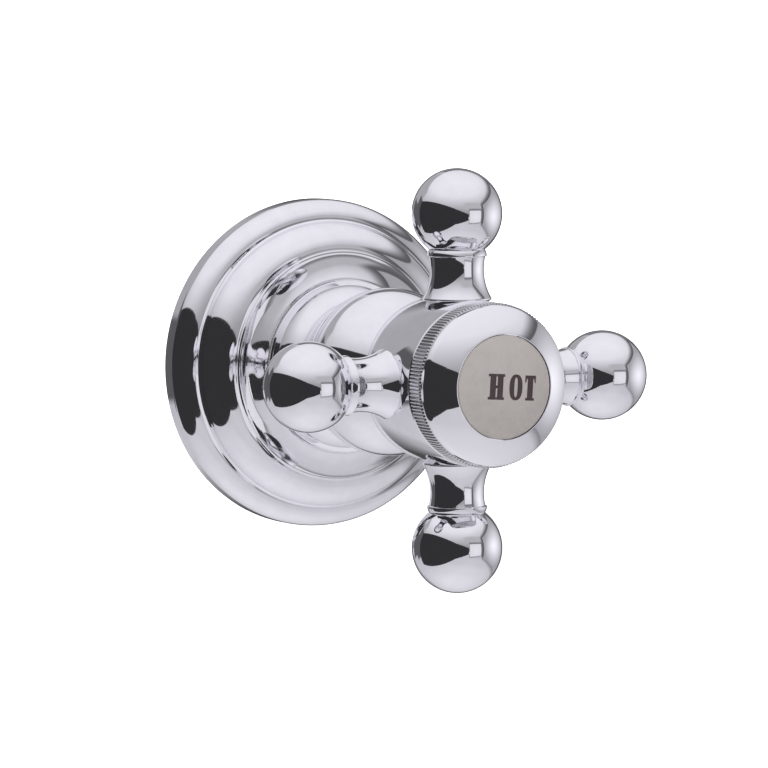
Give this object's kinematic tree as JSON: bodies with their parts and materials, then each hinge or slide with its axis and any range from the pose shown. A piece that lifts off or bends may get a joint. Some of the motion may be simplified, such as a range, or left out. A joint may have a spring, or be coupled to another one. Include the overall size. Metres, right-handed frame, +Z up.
{
  "type": "concealed tap",
  "caption": "Concealed quarter-turn stop tap for a bath or shower: ball-ended cross handle with a ceramic HOT index, waisted shroud, stepped wall flange, in-wall valve body.",
  "frame": {"origin": "middle of the wall flange's back face, on the face of the wall, on the tap's turning axis", "axes": "+Y into the wall along the turning axis, so the front of the tap faces -Y; +Z up along the pipe run, towards the outlet; +X to the right of someone facing the wall"},
  "size_m": [0.081, 0.1101, 0.081],
  "materials": {
    "chrome_plate": "mirror-polished chrome plate on brass",
    "bare_brass": "as-turned brass",
    "black_rubber": "matt black nitrile rubber",
    "valve_ceramic": "lapped alumina",
    "index_ceramic": "satin-glazed warm grey-beige ceramic",
    "red_fibre": "red vulcanised fibre",
    "white_nylon": "natural white nylon",
    "stainless_steel": "plain stainless steel"
  },
  "bodies": {
    "valve": {"wall_flange": "chrome_plate", "wall_seal": "black_rubber", "foot_washer": "white_nylon", "shroud": "chrome_plate", "glide_ring": "white_nylon", "thrust_washer": "white_nylon", "headwork_housing": "bare_brass", "body_washer": "red_fibre", "fixed_ceramic_disc": "valve_ceramic", "seat_seal": "black_rubber", "valve_body": "bare_brass"},
    "handle": {"handle_hub": "chrome_plate", "arm_top": "chrome_plate", "arm_right": "chrome_plate", "arm_bottom": "chrome_plate", "arm_left": "chrome_plate", "knurled_ring": "chrome_plate", "index_disc": "index_ceramic", "index_oring": "black_rubber", "handle_screw": "stainless_steel", "screw_washer": "stainless_steel", "spline_bush": "bare_brass", "spindle": "bare_brass", "stop_ring": "bare_brass", "retaining_clip": "stainless_steel", "spindle_oring_1": "black_rubber", "spindle_oring_2": "black_rubber", "moving_ceramic_disc": "valve_ceramic"}
  },
  "joints": [
    {"name": "handle_turn", "type": "hinge", "parent": "valve", "child": "handle", "pos_m": [0, -0.05985, 0], "axis": [0, -1, 0], "range_deg": [0, 90]}
  ]
}
